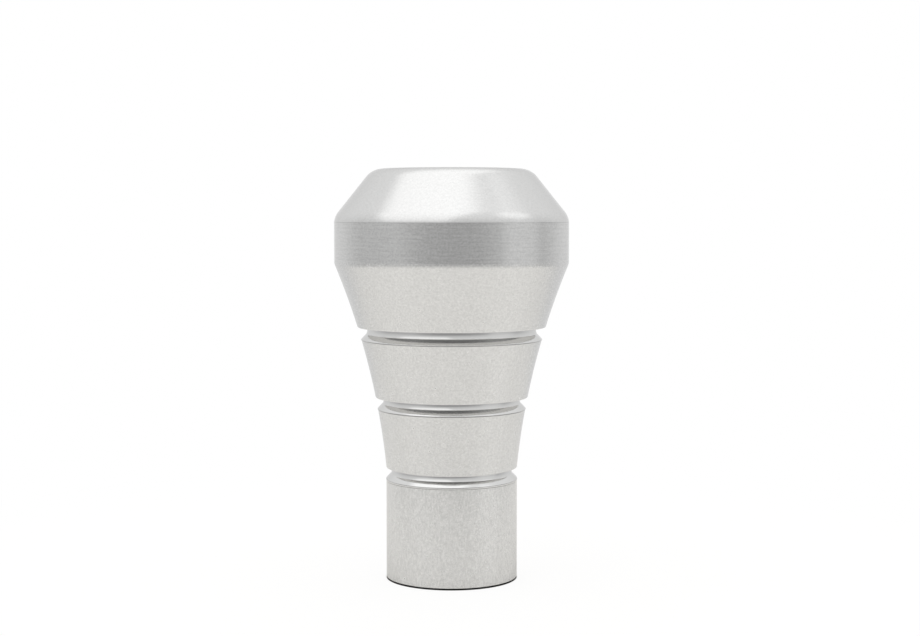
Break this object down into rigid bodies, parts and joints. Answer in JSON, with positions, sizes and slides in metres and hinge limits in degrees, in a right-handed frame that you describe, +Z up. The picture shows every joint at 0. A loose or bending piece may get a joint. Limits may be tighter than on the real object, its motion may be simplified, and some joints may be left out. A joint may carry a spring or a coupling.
{
  "type": "gear shift knob",
  "caption": "Waisted round gear shift knob turned from bare metal, with grooved grip rings, a wide band, a bevelled crown and a threaded hole for the lever in its foot.",
  "frame": {"origin": "on the turning axis, in the plane of the flat foot", "axes": "+Z up along the turning axis, from the foot to the crown; X and Y are alike"},
  "size_m": [0.046, 0.046, 0.0806],
  "materials": {
    "turned_steel": "satin, lathe-turned"
  },
  "bodies": {
    "root": {"shift_knob": "turned_steel"}
  },
  "joints": []
}
